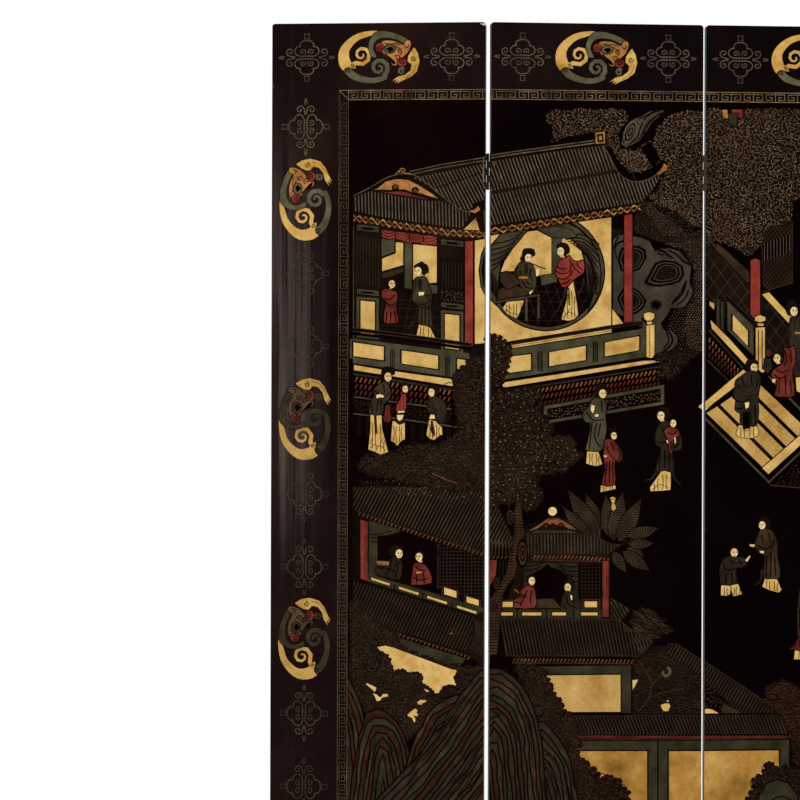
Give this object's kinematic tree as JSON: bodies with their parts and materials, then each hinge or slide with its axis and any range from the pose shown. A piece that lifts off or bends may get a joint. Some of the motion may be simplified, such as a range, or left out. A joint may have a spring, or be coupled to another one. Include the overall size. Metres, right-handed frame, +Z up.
{
  "type": "folding lacquer screen",
  "caption": "Tall folding screen of black lacquered wooden leaves with carved and coloured palace scenes, hinged so that they stand in a zigzag and fold to a flat stack.",
  "frame": {"origin": "on the floor, in the middle of the box around the standing screen", "axes": "+X to the viewer's right along the screen, +Y away from the viewer, +Z up"},
  "size_m": [2.5822, 0.1914, 2.13],
  "materials": {
    "front_lacquer": "aged black lacquer with carved, coloured pictures",
    "back_lacquer": "aged black lacquer with a carved border",
    "core_wood": "planed softwood",
    "bamboo": "split bamboo",
    "edge_wood": "lacquered edge, worn at the corners",
    "hinge_brass": "dull, dark brass",
    "pin_iron": "dark iron",
    "screw_iron": "dark iron"
  },
  "bodies": {
    "leaf_1": {"leaf_1_boards": "core_wood", "leaf_1_pegs": "bamboo", "leaf_1_stiles": "edge_wood", "leaf_1_rails": "edge_wood", "leaf_1_front_lacquer": "front_lacquer", "leaf_1_back_lacquer": "back_lacquer", "leaf_1_screws": "screw_iron", "hinge_1_left_plates": "hinge_brass", "hinge_1_pins": "pin_iron"},
    "leaf_2": {"leaf_2_boards": "core_wood", "leaf_2_pegs": "bamboo", "leaf_2_stiles": "edge_wood", "leaf_2_rails": "edge_wood", "leaf_2_front_lacquer": "front_lacquer", "leaf_2_back_lacquer": "back_lacquer", "leaf_2_screws": "screw_iron", "hinge_1_right_plates": "hinge_brass", "hinge_2_left_plates": "hinge_brass", "hinge_2_pins": "pin_iron"},
    "leaf_3": {"leaf_3_boards": "core_wood", "leaf_3_pegs": "bamboo", "leaf_3_stiles": "edge_wood", "leaf_3_rails": "edge_wood", "leaf_3_front_lacquer": "front_lacquer", "leaf_3_back_lacquer": "back_lacquer", "leaf_3_screws": "screw_iron", "hinge_2_right_plates": "hinge_brass", "hinge_3_left_plates": "hinge_brass", "hinge_3_pins": "pin_iron"},
    "leaf_4": {"leaf_4_boards": "core_wood", "leaf_4_pegs": "bamboo", "leaf_4_stiles": "edge_wood", "leaf_4_rails": "edge_wood", "leaf_4_front_lacquer": "front_lacquer", "leaf_4_back_lacquer": "back_lacquer", "leaf_4_screws": "screw_iron", "hinge_3_right_plates": "hinge_brass", "hinge_4_left_plates": "hinge_brass", "hinge_4_pins": "pin_iron"},
    "leaf_5": {"leaf_5_boards": "core_wood", "leaf_5_pegs": "bamboo", "leaf_5_stiles": "edge_wood", "leaf_5_rails": "edge_wood", "leaf_5_front_lacquer": "front_lacquer", "leaf_5_back_lacquer": "back_lacquer", "leaf_5_screws": "screw_iron", "hinge_4_right_plates": "hinge_brass", "hinge_5_left_plates": "hinge_brass", "hinge_5_pins": "pin_iron"},
    "leaf_6": {"leaf_6_boards": "core_wood", "leaf_6_pegs": "bamboo", "leaf_6_stiles": "edge_wood", "leaf_6_rails": "edge_wood", "leaf_6_front_lacquer": "front_lacquer", "leaf_6_back_lacquer": "back_lacquer", "leaf_6_screws": "screw_iron", "hinge_5_right_plates": "hinge_brass"}
  },
  "joints": [
    {"name": "fold_1", "type": "hinge", "parent": "leaf_1", "child": "leaf_2", "pos_m": [-0.86138, -0.0722, 1.065], "axis": [0, 0, 1], "range_deg": [-20, 166]},
    {"name": "fold_2", "type": "hinge", "parent": "leaf_2", "child": "leaf_3", "pos_m": [-0.42844, -0.04523, 1.065], "axis": [0, 0, -1], "range_deg": [-6.4, 179.6]},
    {"name": "fold_3", "type": "hinge", "parent": "leaf_3", "child": "leaf_4", "pos_m": [-0.00129, 0.03036, 1.065], "axis": [0, 0, 1], "range_deg": [-8.4, 177.6]},
    {"name": "fold_4", "type": "hinge", "parent": "leaf_4", "child": "leaf_5", "pos_m": [0.43044, 0.07242, 1.065], "axis": [0, 0, -1], "range_deg": [-25, 161]},
    {"name": "fold_5", "type": "hinge", "parent": "leaf_5", "child": "leaf_6", "pos_m": [0.86138, 0.02283, 1.065], "axis": [0, 0, 1], "range_deg": [-23, 163]}
  ]
}
